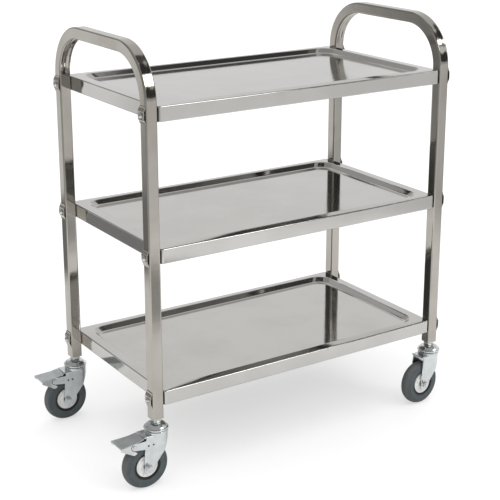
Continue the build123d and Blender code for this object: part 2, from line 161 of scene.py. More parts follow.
def round_off(bm: Mesh, geom: Sequence[Edge | Vert], width: float, facets: int) -> None:
    """Round off some edges, or the corners of an outline.

    Args:
        bm: Mesh that holds them.
        geom: The edges or the corners.
        width: Width taken from each side.
        facets: Facets of the rounding.
    """
    corners = isinstance(geom[0], Vert)
    bmesh.ops.bevel(
        bm, geom=list(geom), offset=width, offset_type="OFFSET", segments=facets, profile=0.5,
        affect="VERTICES" if corners else "EDGES", clamp_overlap=not corners, material=-1,
    )


def spin(
    bm: Mesh, geom: list, centre: Vector, axis: Vector, angle: float, steps: int, whole: bool = False
) -> list:
    """Spin some geometry about an axis.

    Args:
        bm: Mesh that holds it.
        geom: The geometry.
        centre: A point of the axis.
        axis: The axis's direction.
        angle: The turn in radians.
        steps: Facets of the turn.
        whole: Whether a full turn is closed.

    Returns:
        The geometry at the turn's end.
    """
    return bmesh.ops.spin(
        bm, geom=geom, cent=centre, axis=axis, dvec=Vector(), angle=angle, steps=steps, use_merge=whole,
        use_normal_flip=False, use_duplicate=False,
    )["geom_last"]


def rounded_loop(
    bm: Mesh, size: tuple[float, float], radius: float, facets: int, at: Matrix
) -> list[Edge]:
    """Add a rectangle's outline with round corners.

    Args:
        bm: Mesh to add to.
        size: Length along the local X and Y axes.
        radius: Corner radius.
        facets: Edges in each corner.
        at: Place of the rectangle's middle.

    Returns:
        The outline's edges.
    """
    known = set(bm.edges)
    stretch = at @ Matrix.Diagonal((*size, 1.0, 1.0))
    corners = bmesh.ops.create_grid(bm, x_segments=1, y_segments=1, size=0.5, matrix=stretch)["verts"]
    bmesh.ops.delete(bm, geom=list(corners[0].link_faces), context="FACES_ONLY")
    round_off(bm, corners, radius, facets)
    return [e for e in bm.edges if e not in known]


def pull(bm: Mesh, edges: list[Edge], move: Vector) -> list[Edge]:
    """Extrude a loop of edges along a vector.

    Args:
        bm: Mesh that holds the loop.
        edges: The loop.
        move: The vector.

    Returns:
        The new loop.
    """
    loop = pick(bmesh.ops.extrude_edge_only(bm, edges=edges)["geom"], Edge)
    bmesh.ops.translate(bm, verts=verts_of(loop), vec=move)
    return loop


def set_height(loop: list[Edge], height: float) -> None:
    """Set a loop of edges at one height."""
    for vert in verts_of(loop):
        vert.co.z = height


@dataclass(frozen=True)
class Knot:
    """One corner of a turned profile: its place along the axis, its radius, and how far it is eased."""

    along: float
    radius: float
    ease: float = 0.0


def both_sides(side: tuple[Knot, ...]) -> tuple[Knot, ...]:
    """A profile and its mirror image about the axis's middle."""
    return side + tuple(Knot(-k.along, k.radius, k.ease) for k in reversed(side))


def turned(bm: Mesh, knots: Sequence[Knot], at: Matrix, steps: int, closed: bool = False) -> None:
    """Spin a profile about the local Z axis.

    Args:
        bm: Mesh to add to.
        knots: The profile's corners in order.
        at: Place of the axis.
        steps: Facets round the axis.
        closed: Whether the last corner joins the first.
    """
    part = bmesh.new()
    verts = [part.verts.new((k.radius, 0.0, k.along)) for k in knots]
    pairs = list(zip(verts, verts[1:]))
    if closed:
        pairs.append((verts[-1], verts[0]))
    for pair in pairs:
        part.edges.new(pair)
    for vert, knot in zip(verts, knots):
        if knot.ease > 0.0:
            round_off(part, [vert], knot.ease, KNOT_FACETS)
    spin(part, part.verts[:] + part.edges[:], Vector(), Z_AXIS, math.tau, steps, whole=True)
    weld(part)
    face_out(part)
    graft(bm, part, [at])


def graft(bm: Mesh, part: Mesh, places: Iterable[Matrix]) -> None:
    """Add copies of a finished part to a mesh and free the part.

    Args:
        bm: Mesh to add to.
        part: The part, about its own origin.
        places: Where each copy goes.
    """
    for place in places:
        copy = part.copy()
        bmesh.ops.transform(copy, matrix=place, verts=copy.verts[:])
        scrap = bpy.data.meshes.new("scrap")
        copy.to_mesh(scrap)
        copy.free()
        bm.from_mesh(scrap)
        bpy.data.meshes.remove(scrap)
    part.free()


def block(
    bm: Mesh, size: tuple[float, float, float], at: Matrix, ease: float, facets: int = EASE_FACETS
) -> None:
    """Add a box with eased edges.

    Args:
        bm: Mesh to add to.
        size: Its lengths.
        at: Place of its middle.
        ease: Width of the easing.
        facets: Facets of the easing.
    """
    part = bmesh.new()
    bmesh.ops.create_cube(part, size=1.0, matrix=Matrix.Diagonal((*size, 1.0)))
    round_off(part, part.edges[:], ease, facets)
    graft(bm, part, [at])


def hexagon(bm: Mesh, flats: float, height: float, at: Matrix, ease: float) -> None:
    """Add a hexagon prism that stands on the local XY plane.

    Args:
        bm: Mesh to add to.
        flats: Width across its flats.
        height: Its height.
        at: Place of its foot's middle.
        ease: Width of its eased edges.
    """
    part = bmesh.new()
    radius = flats / math.sqrt(3.0)
    bmesh.ops.create_cone(
        part, cap_ends=True, segments=6, radius1=radius, radius2=radius, depth=height,
        matrix=Matrix.Translation((0.0, 0.0, height / 2)),
    )
    round_off(part, part.edges[:], ease, EASE_FACETS)
    graft(bm, part, [at])


def merged_copy(node: str) -> Mesh:
    """A construction node's mesh with its loose triangles joined and its flats made whole.

    Args:
        node: The node's name.

    Returns:
        The mesh.
    """
    bm = bmesh.new()
    bm.from_mesh(frame["nodes"][node].data)
    weld(bm)
    bmesh.ops.dissolve_limit(bm, angle_limit=math.radians(FLAT_ANGLE), verts=bm.verts[:], edges=bm.edges[:])
    return bm


def paint_shade_and_tone(bm: Mesh, share: Callable[[Vector], float]) -> None:
    """Mark the faces that show their finish's marked colour: painted shade on some pieces, a tone of their
    own on others.

    Args:
        bm: Mesh to mark.
        share: How far a face with this middle shows it, from 0 to 1.
    """
    layer = bm.faces.layers.float.new(SHADE_AND_TONE)
    for face in bm.faces:
        face[layer] = share(face.calc_center_median())


@dataclass(frozen=True)
class Piece:
    """What a finished mesh needs to become a piece of the cart."""

    name: str
    body: str
    slot: Slot
    node: str

    def make(self, bm: Mesh, finish: Material) -> Object:
        """Turn a mesh into a piece that rides its body and stands for its node.

        Args:
            bm: The mesh, freed afterwards.
            finish: Its material.

        Returns:
            The piece.
        """
        mesh = bpy.data.meshes.new(self.name)
        bm.to_mesh(mesh)
        bm.free()
        mesh.materials.append(finish)
        mesh.shade_smooth()
        mesh.set_sharp_from_angle(angle=math.radians(CREASE_ANGLE))
        piece = bpy.data.objects.new(self.name, mesh)
        bpy.context.scene.collection.objects.link(piece)
        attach(piece, self.body)
        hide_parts(self.node)
        LOG.info("%s: %d faces, on %s", self.name, len(mesh.polygons), self.body)
        return piece


def weigh_normals(piece: Object) -> None:
    """Keep large flats flat where they meet small roundings.

    Args:
        piece: The piece that has them.
    """
    weigh = piece.modifiers.new("flat_faces", "WEIGHTED_NORMAL")
    weigh.keep_sharp = True
    weigh.weight = FLAT_WEIGHT


def thicken(piece: Object, wall: float, inside: Material | None = None) -> None:
    """Give an outer skin its wall, inwards.

    Args:
        piece: The skin.
        wall: The wall's thickness.
        inside: Material of the new inner face, if it has its own.
    """
    solid = piece.modifiers.new("wall", "SOLIDIFY")
    solid.thickness = wall
    solid.offset = -1.0
    if inside:
        piece.data.materials.append(inside)
        solid.material_offset = 1


def ease_pressing(piece: Object) -> None:
    """Ease the cut edges of a pressed piece.

    Args:
        piece: The piece.
    """
    ease = piece.modifiers.new("eased_edges", "BEVEL")
    ease.width = PRESSED_EASE
    ease.segments = EASE_FACETS
    ease.limit_method = "ANGLE"
    ease.angle_limit = math.radians(PRESSED_ANGLE)
    weigh_normals(piece)


# Finishes


def add_node(
    tree: Tree, kind: str, inputs: dict[str | int, object], **settings: object
) -> Mapping[str, Socket]:
    """Add a shader node and feed its inputs.

    Args:
        tree: Tree to add to.
        kind: The node's type.
        inputs: For each input, the socket that feeds it or its plain value.
        settings: The node's own properties.

    Returns:
        Its outputs.
    """
    node = tree.nodes.new(kind)
    for name, value in settings.items():
        setattr(node, name, value)
    for name, value in inputs.items():
        if isinstance(value, Socket):
            tree.links.new(value, node.inputs[name])
        else:
            node.inputs[name].default_value = value
    return node.outputs


def new_group(name: str, takes: Sequence[str], gives: Sequence[str]) -> tuple[Tree, Mapping[str, Socket]]:
    """Start a node group.

    Args:
        name: Its name.
        takes: Names of the values that it takes besides a vector.
        gives: Names of the values that it gives.

    Returns:
        The group, and the sockets of what it takes.
    """
    tree = bpy.data.node_groups.new(name, "ShaderNodeTree")
    tree.interface.new_socket("Vector", in_out="INPUT", socket_type="NodeSocketVector")
    for way, labels in (("INPUT", takes), ("OUTPUT", gives)):
        for label in labels:
            tree.interface.new_socket(label, in_out=way, socket_type="NodeSocketFloat")
    return tree, tree.nodes.new("NodeGroupInput").outputs


class Groups:
    """Shader node groups that several finishes share: each gives a mask and a height."""

    gives = ("Mask", "Height")

    def __init__(self) -> None:
        """Build both groups once."""
        self.lines = self._lines()
        self.blotches = self._blotches()

    @staticmethod
    def _end(tree: Tree, noise: Socket, low: float, high: float, rise: Rise) -> None:
        """Give a noise out as a height, and as a mask that rises between two of its values.

        Args:
            tree: The group.
            noise: The noise.
            low: Where the mask starts to rise.
            high: Where it is full.
            rise: How it rises.
        """
        mask = add_node(
            tree, "ShaderNodeMapRange", {"Value": noise, "From Min": low, "From Max": high},
            interpolation_type=rise.value,
        )
        add_node(tree, "NodeGroupOutput", {"Mask": mask["Result"], "Height": noise})

    def _lines(self) -> Tree:
        """Fine lines of a polishing belt, drawn out along the coordinates' Z axis.

        Returns:
            The group.
        """
        tree, given = new_group("polish_lines", ("Across", "Along"), self.gives)
        across, along = given["Across"], given["Along"]
        stretch = add_node(tree, "ShaderNodeCombineXYZ", {"X": across, "Y": across, "Z": along})
        drawn = add_node(
            tree, "ShaderNodeVectorMath", {0: given["Vector"], 1: stretch["Vector"]}, operation="MULTIPLY"
        )
        noise = add_node(
            tree, "ShaderNodeTexNoise",
            {"Vector": drawn["Vector"], "Scale": 1.0, "Detail": 3.0, "Roughness": 0.6},
        )
        self._end(tree, noise["Fac"], low=0.3, high=0.7, rise=Rise.STRAIGHT)
        return tree

    def _blotches(self) -> Tree:
        """Soft blotches of handling, plating or moulding.

        Returns:
            The group.
        """
        tree, given = new_group("blotches", ("Scale",), self.gives)
        noise = add_node(
            tree, "ShaderNodeTexNoise",
            {"Vector": given["Vector"], "Scale": given["Scale"], "Detail": 4.0, "Roughness": 0.55},
        )
        self._end(tree, noise["Fac"], low=0.35, high=0.68, rise=Rise.SOFT)
        return tree


@dataclass(frozen=True)
class Finish:
    """One surface: its colours, gloss and fine relief. Its lines run alike both ways unless told."""

    colour: Colour
    worn: Colour
    roughness: float
    spread: float
    blotch_scale: float
    lines_across: float
    line_depth: float
    lines_along: float | None = None
    metallic: float = 1.0
    wave_scale: float = 0.0
    wave_depth: float = 0.0
    grain: Grain = Grain.OBJECT
    # Colour of marked faces: painted shade on some pieces, a tone of their own on others.
    shade_and_tone: Colour | None = None
    shade_and_tone_dulls: float = 0.0

    def material(self, name: str, groups: Groups) -> Material:
        """Build the node material.

        Args:
            name: The material's name.
            groups: The shared node groups.

        Returns:
            The material.
        """
        material = bpy.data.materials.new(name)
        material.use_nodes = True
        tree = material.node_tree
        coords = tree.nodes.new("ShaderNodeTexCoord").outputs
        along = self.lines_along or self.lines_across
        lines = add_node(
            tree, "ShaderNodeGroup",
            {"Vector": coords[self.grain.value], "Across": self.lines_across, "Along": along},
            node_tree=groups.lines,
        )
        blotches = add_node(
            tree, "ShaderNodeGroup", {"Vector": coords["Object"], "Scale": self.blotch_scale},
            node_tree=groups.blotches,
        )
        tint = add_node(
            tree, "ShaderNodeMix",
            {"Factor": blotches["Mask"], "A": (*self.colour, 1.0), "B": (*self.worn, 1.0)},
            data_type="RGBA",
        )
        both = add_node(tree, "ShaderNodeMath", {0: lines["Mask"], 1: blotches["Mask"]}, operation="ADD")
        gloss = add_node(
            tree, "ShaderNodeMapRange",
            {
                "Value": both["Value"], "From Max": 2.0,
                "To Min": self.roughness - self.spread / 2, "To Max": self.roughness + self.spread / 2,
            },
        )
        relief = {"Strength": 1.0, "Distance": self.line_depth, "Height": lines["Height"]}
        if self.wave_depth > 0.0:
            waves = add_node(
                tree, "ShaderNodeGroup", {"Vector": coords["Object"], "Scale": self.wave_scale},
                node_tree=groups.blotches,
            )
            swell = {"Strength": 1.0, "Distance": self.wave_depth, "Height": waves["Height"]}
            relief["Normal"] = add_node(tree, "ShaderNodeBump", swell)["Normal"]
        colour, rough = tint["Result"], gloss["Result"]
        if self.shade_and_tone:
            colour, rough = self._shade_and_tone(tree, colour, rough)
        shader = tree.nodes["Principled BSDF"].inputs
        shader["Metallic"].default_value = self.metallic
        tree.links.new(colour, shader["Base Color"])
        tree.links.new(rough, shader["Roughness"])
        tree.links.new(add_node(tree, "ShaderNodeBump", relief)["Normal"], shader["Normal"])
        return material

    def _shade_and_tone(self, tree: Tree, colour: Socket, rough: Socket) -> tuple[Socket, Socket]:
        """Show the marked colour, and its dullness, on the faces that are marked for it: painted shade on
        some pieces, a tone of their own on others.

        Args:
            tree: The material's tree.
            colour: Colour of the other faces.
            rough: Roughness of the other faces.

        Returns:
            Colour and roughness of all faces.
        """
        marked = add_node(tree, "ShaderNodeAttribute", {}, attribute_name=SHADE_AND_TONE)["Fac"]
        marked_mix = add_node(
            tree, "ShaderNodeMix", {"Factor": marked, "A": colour, "B": (*self.shade_and_tone, 1.0)},
            data_type="RGBA",
        )
        if self.shade_and_tone_dulls > 0.0:
            dull = add_node(
                tree, "ShaderNodeMath", {0: marked, 1: self.shade_and_tone_dulls, 2: rough},
                operation="MULTIPLY_ADD",
            )
            rough = dull["Value"]
        return marked_mix["Result"], rough


FINISHES = {
    Look.TUBE: Finish(
        colour=(0.48, 0.457, 0.42), worn=(0.425, 0.40, 0.358), roughness=0.09, spread=0.06,
        blotch_scale=11.0, lines_across=420.0, lines_along=9.0, line_depth=0.006 * MM,
        wave_scale=14.0, wave_depth=0.2 * MM, grain=Grain.SWEEP,
    ),
    # The sheet's marked colour is painted shade, on the tray corners beside the legs.
    Look.SHEET: Finish(
        colour=(0.60, 0.59, 0.57), worn=(0.56, 0.55, 0.53), roughness=0.09, spread=0.05,
        blotch_scale=7.0, lines_across=300.0, line_depth=0.003 * MM,
        wave_scale=5.0, wave_depth=0.4 * MM, shade_and_tone=(0.07, 0.07, 0.07),
    ),
    # Rougher unpolished underside; its darker colour is painted shade under the trays.
    Look.SHADED_UNDERSIDE: Finish(
        colour=(0.25, 0.244, 0.232), worn=(0.20, 0.195, 0.183), roughness=0.40, spread=0.10,
        blotch_scale=9.0, lines_across=300.0, line_depth=0.01 * MM,
    ),
    Look.BOLT: Finish(
        colour=(0.70, 0.69, 0.67), worn=(0.60, 0.59, 0.57), roughness=0.12, spread=0.10,
        blotch_scale=120.0, lines_across=900.0, line_depth=0.004 * MM,
    ),
    # The zinc's marked colour: painted shade on the pedal's inner cheeks, and a darker pedal plate.
    Look.ZINC: Finish(
        colour=(0.735, 0.77, 0.775), worn=(0.66, 0.695, 0.70), roughness=0.21, spread=0.10,
        blotch_scale=60.0, lines_across=500.0, line_depth=0.005 * MM,
        wave_scale=40.0, wave_depth=0.04 * MM, shade_and_tone=(0.04, 0.045, 0.045), shade_and_tone_dulls=0.7,
    ),
    Look.CAP: Finish(
        colour=(0.78, 0.81, 0.80), worn=(0.68, 0.71, 0.70), roughness=0.24, spread=0.08,
        blotch_scale=60.0, lines_across=500.0, line_depth=0.004 * MM,
        wave_scale=40.0, wave_depth=0.03 * MM,
    ),
    Look.TYRE: Finish(
        colour=(0.061, 0.076, 0.080), worn=(0.078, 0.093, 0.097), metallic=0.0, roughness=0.62, spread=0.16,
        blotch_scale=70.0, lines_across=800.0, line_depth=0.03 * MM,
        shade_and_tone=(0.098, 0.105, 0.106),
    ),
    Look.CORE: Finish(
        colour=(0.012, 0.012, 0.013), worn=(0.020, 0.020, 0.021), metallic=0.0, roughness=0.5, spread=0.15,
        blotch_scale=80.0, lines_across=900.0, line_depth=0.02 * MM,
    ),
    Look.COVER: Finish(
        colour=(0.80, 0.80, 0.79), worn=(0.70, 0.70, 0.695), metallic=0.0, roughness=0.42, spread=0.12,
        blotch_scale=420.0, lines_across=900.0, line_depth=0.02 * MM,
    ),
}


@dataclass
class Part:
    """A sub-assembly of the cart, with the material of each look."""

    finishes: Finishes

    def dress(self, node: str, look: Look) -> None:
        """Give a construction node that shows its material.

        Args:
            node: The node's name.
            look: Its look.
        """
        slots = frame["nodes"][node].data.materials
        slots.clear()
        slots.append(self.finishes[look])
        LOG.info("%s: dressed as %s", node, look.value)


# The cart's frame


@dataclass
class EndFrame(Part):
    """One bent square tube: two legs and the handle bow between them."""

    node: str
    bend_radius: float = 100 * MM
    corner: float = 3 * MM
    wall: float = 1.2 * MM
    corner_facets: int = 5
    flat_cuts: int = 9
    bend_steps: int = 36
    inner_dent: float = 2.6 * MM
    outer_dent: float = 0.2 * MM
    dent_ends: float = 0.16

    def __post_init__(self) -> None:
        """Take the tube's places from the frame."""
        low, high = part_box(self.node)
        self.tube = high.x - low.x
        self.middle_x = (low.x + high.x) / 2
        self.leg_y = high.y - self.tube / 2
        self.foot = low.z
        self.turn_z = high.z - self.tube / 2 - self.bend_radius
        self.turn_y = self.leg_y - self.bend_radius

    def build(self) -> None:
        """Sweep the tube's section up one leg, over the bow and down the other leg."""
        bm = bmesh.new()
        foot = Matrix.Translation((self.middle_x, -self.leg_y, self.foot))
        ring = rounded_loop(bm, (self.tube, self.tube), self.corner, self.corner_facets, foot)
        flats = [e for e in ring if e.calc_length() > self.tube / 2]
        bmesh.ops.subdivide_edges(bm, edges=flats, cuts=self.flat_cuts)
        leg = Vector((0.0, 0.0, self.turn_z - self.foot))
        ring = pull(bm, bm.edges[:], leg)
        ring = self._bend(bm, ring, -self.turn_y)
        ring = pull(bm, ring, Vector((0.0, 2 * self.turn_y, 0.0)))
        ring = self._bend(bm, ring, self.turn_y)
        pull(bm, ring, -leg)
        weld(bm)
        face_out(bm)
        self._unroll(bm)
        self._dent(bm)
        name = self.node.replace("end_frame", "handle_tube")
        piece = Piece(name, FRAME_BODY, Slot.TUBE, self.node).make(bm, self.finishes[Look.TUBE])
        thicken(piece, self.wall)
        weigh_normals(piece)

    def _bend(self, bm: Mesh, ring: list[Edge], centre_y: float) -> list[Edge]:
        """Spin the section a quarter turn, and give it as it is at the end of the bend."""
        centre = Vector((self.middle_x, centre_y, self.turn_z))
        return pick(spin(bm, verts_of(ring) + ring, centre, X_AXIS, -math.pi / 2, self.bend_steps), Edge)

    def _unroll(self, bm: Mesh) -> None:
        """Lay a map on the tube: round its section in U, along its run in V.

        Args:
            bm: Mesh of the tube.
        """
        layer = bm.loops.layers.uv.new("sweep")
        for face in bm.faces:
            for loop in face.loops:
                x, y, z = loop.vert.co
                aside, above = abs(y) - self.turn_y, z - self.turn_z
                if above <= 0.0:
                    along, across = above, aside - self.bend_radius
                elif aside <= 0.0:
                    along, across = self.bend_radius * math.pi / 2 - aside, above - self.bend_radius
                else:
                    along = self.bend_radius * math.atan2(above, aside)
                    across = math.hypot(above, aside) - self.bend_radius
                loop[layer].uv = (x - self.middle_x + across, along)

    def _dent(self, bm: Mesh) -> None:
        """Draw the inner and outer walls in where the tube is bent, as bending without a core does.

        Args:
            bm: Mesh of the tube.
        """
        inner, outer = self.bend_radius - self.tube / 2, self.bend_radius + self.tube / 2
        flat = self.tube / 2 - self.corner
        for vert in bm.verts:
            aside, above = abs(vert.co.y) - self.turn_y, vert.co.z - self.turn_z
            if aside <= 0.0 or above <= 0.0:
                continue
            reach = math.hypot(aside, above)
            share = math.atan2(above, aside) / (math.pi / 2)
            swell = smooth(min(1.0, min(share, 1.0 - share) / self.dent_ends))
            across = min(1.0, abs(vert.co.x - self.middle_x) / flat)
            hollow = math.cos(across * math.pi / 2) ** 2 * swell
            shift = 0.0
            if abs(reach - inner) < self.wall:
                shift = self.inner_dent * hollow
            elif abs(reach - outer) < self.wall:
                shift = -self.outer_dent * hollow
            out = Vector((0.0, math.copysign(aside, vert.co.y), above)) / reach
            vert.co += out * shift


@dataclass
class Tray(Part):
    """One pressed shelf: sunk pan, flat rim, folded apron with a hem."""

    node: str
    side_rim: float = 19 * MM
    end_rim: float = 23 * MM
    corner: float = 8 * MM
    pan_corner: float = 34 * MM
    pan_depth: float = 10 * MM
    pan_slope: float = 9 * MM
    rim_fall: float = 2.4 * MM
    corner_fall: float = 0.25
    rim_settle: float = 185 * MM
    rim_cuts: int = 15
    bend: float = 2.4 * MM
    gap_from: float = 33.0
    hem: float = 12 * MM
    sheet: float = 1 * MM
    corner_facets: int = 10
    bend_facets: int = 4

    def build(self) -> None:
        """Press the pan, fold the apron and its hem, ease the folds, paint shade on the corners that turn
        towards the legs, and leave the underside unpolished and darkened with painted shade.
        """
        low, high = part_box(self.node)
        middle = Matrix.Translation(((low.x + high.x) / 2, (low.y + high.y) / 2, high.z))
        length, depth = high.x - low.x, high.y - low.y
        pan = (length - 2 * self.end_rim, depth - 2 * self.side_rim)
        bm = bmesh.new()
        edge = self._outline(bm, (length, depth), self.corner, middle)
        mouth = self._outline(bm, pan, self.pan_corner, middle)
        for loop, side in ((edge, -1.0), (mouth, 1.0)):
            for vert in verts_of(loop):
                inside = length / 2 - abs(vert.co.x - middle.translation.x)
                vert.co.z += side * self._fall(inside) / 2
        bmesh.ops.bridge_loops(bm, edges=edge + mouth)
        floor = pull(bm, mouth, Vector())
        set_height(floor, high.z - self.pan_depth)
        self._draw_in(bm, floor, pan, self.pan_slope, middle)
        bmesh.ops.contextual_create(bm, geom=floor)
        fold = pull(bm, edge, Vector())
        set_height(fold, low.z)
        hem = pull(bm, fold, Vector())
        self._draw_in(bm, hem, (length, depth), self.hem, middle)
        face_out(bm)
        if max(bm.faces, key=lambda f: f.calc_area()).normal.z < 0.0:
            bmesh.ops.reverse_faces(bm, faces=bm.faces[:])
        round_off(bm, edge + mouth + floor + fold, self.bend, self.bend_facets)
        # Painted shade: the rounded corners that turn towards a leg show the sheet's dark marked colour.
        to_middle = middle.inverted()
        paint_shade_and_tone(bm, lambda spot: self._in_painted_gap_shade(to_middle @ spot, length, depth))
        name = self.node.replace("tray", "shelf")
        piece = Piece(name, FRAME_BODY, Slot.SHEET, self.node).make(bm, self.finishes[Look.SHEET])
        thicken(piece, self.sheet, self.finishes[Look.SHADED_UNDERSIDE])
        weigh_normals(piece)

    def _outline(self, bm: Mesh, size: tuple[float, float], radius: float, at: Matrix) -> list[Edge]:
        """Add a rounded outline whose long sides are cut up, so that they can bow.

        Args:
            bm: Mesh to add to.
            size: Length and depth of the outline.
            radius: Its corner radius.
            at: Place of its middle.

        Returns:
            The outline's edges.
        """
        known = set(bm.edges)
        loop = rounded_loop(bm, size, radius, self.corner_facets, at)
        sides = [e for e in loop if e.calc_length() > size[1]]
        bmesh.ops.subdivide_edges(bm, edges=sides, cuts=self.rim_cuts)
        return [e for e in bm.edges if e not in known]

    def _fall(self, inside: float) -> float:
        """How far the rim falls outwards at a distance from the tray's end, least near the stiff corners."""
        share = smooth(min(1.0, inside / self.rim_settle))
        return self.rim_fall * (self.corner_fall + (1.0 - self.corner_fall) * share)

    def _in_painted_gap_shade(self, spot: Vector, length: float, depth: float) -> bool:
        """Whether a spot of the apron lies in the gap beside a leg, where shade is painted.

        Args:
            spot: The spot, from the middle of the tray's top.
            length: The tray's length.
            depth: The tray's depth.

        Returns:
            True on the part of a rounded corner that turns towards the leg.
        """
        beyond_x = abs(spot.x) - length / 2 + self.corner
        beyond_y = abs(spot.y) - depth / 2 + self.corner
        if min(beyond_x, beyond_y) <= 0.0 or spot.z > -self.rim_fall:
            return False
        return math.degrees(math.atan2(beyond_x, beyond_y)) > self.gap_from

    @staticmethod
    def _draw_in(bm: Mesh, loop: list[Edge], size: tuple[float, float], by: float, middle: Matrix) -> None:
        """Move each side of a loop of a given length and depth towards its middle."""
        shrink = ((size[0] - 2 * by) / size[0], (size[1] - 2 * by) / size[1], 1.0)
        bmesh.ops.scale(bm, vec=shrink, space=middle.inverted(), verts=verts_of(loop))


@dataclass
class FrameFasteners(Part):
    """The bowed saddle plates on the legs, and the dome-head bolts through them."""

    saddle_height: float = 34 * MM
    saddle_width: float = 22 * MM
    saddle_rise: float = 5 * MM
    saddle_sheet: float = 1.5 * MM
    saddle_foot: float = 4 * MM
    saddle_flat: float = 16 * MM
    saddle_bend: float = 2.5 * MM
    bend_facets: int = 4
    edge_angle: float = 60.0
    edge_ease: float = 0.35 * MM
    head: float = 12.5 * MM
    head_height: float = 5 * MM
    head_edge: float = 1 * MM
    head_ease: float = 0.4 * MM
    dome_ease: float = 2.6 * MM
    shank: float = 6 * MM
    shank_ease: float = 0.6 * MM
    grip: float = 38 * MM
    bolt_steps: int = 40

    def spots(self) -> list[Matrix]:
        """Places on the legs' outer faces, level with the trays' middles.

        Returns:
            The places, X pointing outwards.
        """
        places = []
        left, right = (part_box(node) for node in END_FRAMES)
        tube = left[1].x - left[0].x
        for x, turn in ((left[0].x, math.pi), (right[1].x, 0.0)):
            for node in TRAYS:
                low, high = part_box(node)
                for y in (left[0].y + tube / 2, left[1].y - tube / 2):
                    spot = Matrix.Translation((x, y, (low.z + high.z) / 2))
                    places.append(spot @ Matrix.Rotation(turn, 4, "Z"))
        return places

    def build(self) -> None:
        """Make both groups of fasteners, and dress the nuts and the leg inserts."""
        plates, bolts = bmesh.new(), bmesh.new()
        graft(plates, self._saddle(), self.spots())
        saddles = Piece("saddle_bridges", FRAME_BODY, Slot.TUBE, "saddle_plates")
        weigh_normals(saddles.make(plates, self.finishes[Look.TUBE]))
        graft(bolts, self._bolt(), self.spots())
        Piece("dome_bolts", FRAME_BODY, Slot.BOLT, "frame_bolts").make(bolts, self.finishes[Look.BOLT])
        self.dress("frame_nuts", Look.BOLT)
        self.dress("leg_inserts", Look.CORE)

    def _saddle(self) -> Mesh:
        """One plate: a folded strip with its seat at X 0.

        Returns:
            The plate's mesh.
        """
        bm = bmesh.new()
        half, lift = self.saddle_height / 2, self.saddle_rise - self.saddle_sheet
        outline = (
            (0.0, -half), (0.0, self.saddle_foot - half), (lift, -self.saddle_flat / 2),
            (lift, self.saddle_flat / 2), (0.0, half - self.saddle_foot), (0.0, half),
        )
        line = [bm.verts.new((x, -self.saddle_width / 2, z)) for x, z in outline]
        strip = [bm.edges.new(pair) for pair in zip(line, line[1:])]
        pull(bm, strip, Vector((0.0, self.saddle_width, 0.0)))
        folds = [e for e in bm.edges if len(e.link_faces) == 2]
        round_off(bm, folds, self.saddle_bend, self.bend_facets)
        face_out(bm)
        if sum(f.normal.x for f in bm.faces) < 0.0:
            bmesh.ops.reverse_faces(bm, faces=bm.faces[:])
        bmesh.ops.solidify(bm, geom=bm.faces[:], thickness=-self.saddle_sheet)
        face_out(bm)
        limit = math.radians(self.edge_angle)
        sharp = [e for e in bm.edges if len(e.link_faces) == 2 and e.calc_face_angle(0.0) > limit]
        round_off(bm, sharp, self.edge_ease, EASE_FACETS)
        return bm

    def _bolt(self) -> Mesh:
        """One bolt along X: domed head outside the plate, shank through the leg.

        Returns:
            The bolt's mesh.
        """
        bm = bmesh.new()
        seat = self.saddle_rise
        knots = (
            Knot(seat - self.grip, 0.0),
            Knot(seat - self.grip, self.shank / 2, self.shank_ease),
            Knot(seat, self.shank / 2),
            Knot(seat, self.head / 2),
            Knot(seat + self.head_edge, self.head / 2, self.head_ease),
            Knot(seat + self.head_height, self.head / 4, self.dome_ease),
            Knot(seat + self.head_height, 0.0),
        )
        turned(bm, knots, Matrix.Rotation(math.pi / 2, 4, "Y"), self.bolt_steps)
        return bm


# Castors


@dataclass
class CastorPart(Part):
    """Part of the castor at one corner: its names, and the axes that the castor moves about."""

    corner: str

    def node(self, part: str) -> str:
        """Full name of one of the castor's nodes, bodies or motions."""
        return f"{self.corner}_{part}"

    def piece(self, name: str, body: str, slot: Slot, node: str) -> Piece:
        """A piece on one of the castor's bodies that stands for one of its nodes."""
        return Piece(self.node(name), self.node(body), slot, self.node(node))

    def joint(self, motion: str) -> dict:
        """The record's entry for one of the castor's motions."""
        return next(j for j in frame["joints"] if j["name"] == self.node(motion))

    def stand(self) -> Matrix:
        """Place on the floor under the swivel.

        Returns:
            The place, turned as the castor stands.
        """
        x, y, _ = self.joint("swivel")["pos_m"]
        axle = Vector(self.joint("wheel_turn")["axis"])
        return Matrix.Translation((x, y, 0.0)) @ Matrix.Rotation(math.atan2(-axle.x, axle.y), 4, "Z")

    def hub(self) -> Matrix:
        """Place of the wheel's middle, Z along the axle to the rear."""
        turn = self.stand().to_3x3().to_4x4() @ Matrix.Rotation(-math.pi / 2, 4, "X")
        return Matrix.Translation(self.joint("wheel_turn")["pos_m"]) @ turn

    def pin(self) -> Matrix:
        """Place of the brake pedal's pin, X inwards."""
        return Matrix.Translation(self.joint("brake_press")["pos_m"]) @ self.stand().to_3x3().to_4x4()


